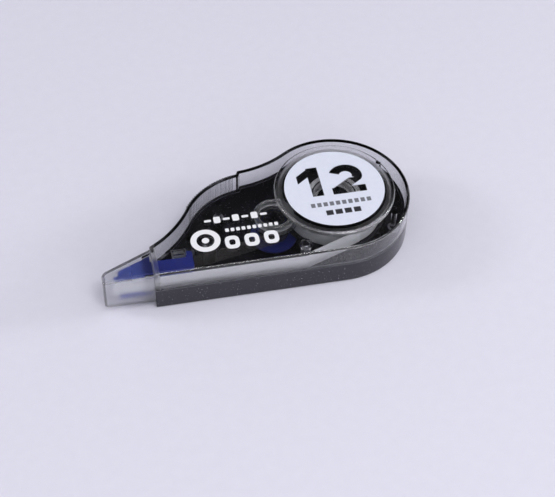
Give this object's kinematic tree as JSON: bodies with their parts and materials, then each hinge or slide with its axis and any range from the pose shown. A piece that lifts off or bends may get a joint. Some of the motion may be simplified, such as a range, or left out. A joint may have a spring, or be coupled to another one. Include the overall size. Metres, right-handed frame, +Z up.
{
  "type": "correction tape roller",
  "caption": "Teardrop correction tape roller with a clear upper half, black lower half, blue applicator head, pull-off cap, and a geared supply spool and take-up reel.",
  "frame": {"origin": "centre of the bounding box at the flat underside", "axes": "+Z up through the raised dial, +X from the applicator to the round end along the straight side, which faces -Y"},
  "size_m": [0.0888, 0.0421, 0.0153],
  "materials": {
    "clear_styrene": "glossy, transparent",
    "black_styrene": "glossy",
    "cap_clear": "glossy top, frosted sides, transparent",
    "blue_plastic": "satin",
    "gear_black": "satin",
    "reel_grey": "satin",
    "clutch_rubber": "matte",
    "white_tape": "matte",
    "clear_film": "glossy film",
    "white_label": "printed film"
  },
  "bodies": {
    "case": {"lower_shell": "black_styrene", "upper_shell": "clear_styrene", "applicator_head": "blue_plastic", "feed_tape": "white_tape", "return_film": "clear_film", "dial_label": "white_label"},
    "cap": {"tip_cap": "cap_clear"},
    "supply_gear": {"supply_gear": "gear_black", "clutch_ring": "clutch_rubber"},
    "supply_spool": {"spool_core": "reel_grey", "spool_flange": "gear_black", "tape_roll": "white_tape"},
    "takeup_reel": {"takeup_gear": "reel_grey", "takeup_core": "blue_plastic", "takeup_flange": "clear_styrene", "takeup_film": "clear_film"},
    "feed_roller": {"feed_roller": "reel_grey"},
    "return_roller": {"return_roller": "reel_grey"}
  },
  "joints": [
    {"name": "cap_slide", "type": "slide", "parent": "case", "child": "cap", "axis": [-1, 0, 0], "range_m": [0, 0.03]},
    {"name": "supply_spin", "type": "hinge", "parent": "case", "child": "supply_gear", "pos_m": [0.02325, 0.0004, 0.007], "axis": [0, 0, 1], "continuous": true},
    {"name": "clutch_slip", "type": "hinge", "parent": "supply_gear", "child": "supply_spool", "pos_m": [0.02325, 0.0004, 0.007], "axis": [0, 0, 1], "continuous": true},
    {"name": "takeup_spin", "type": "hinge", "parent": "case", "child": "takeup_reel", "pos_m": [0.00506, -0.00475, 0.007], "axis": [0, 0, 1], "continuous": true},
    {"name": "feed_roller_spin", "type": "hinge", "parent": "case", "child": "feed_roller", "pos_m": [0.0115, -0.01685, 0.007], "axis": [0, 0, 1], "continuous": true},
    {"name": "return_roller_spin", "type": "hinge", "parent": "case", "child": "return_roller", "pos_m": [-0.01415, -0.0112, 0.007], "axis": [0, 0, 1], "continuous": true}
  ],
  "couplings": [
    {"joint": "takeup_spin", "follows": "supply_spin", "ratio": -3.5},
    {"joint": "feed_roller_spin", "follows": "supply_spin", "ratio": 9.7143},
    {"joint": "return_roller_spin", "follows": "supply_spin", "ratio": -7.7714}
  ]
}
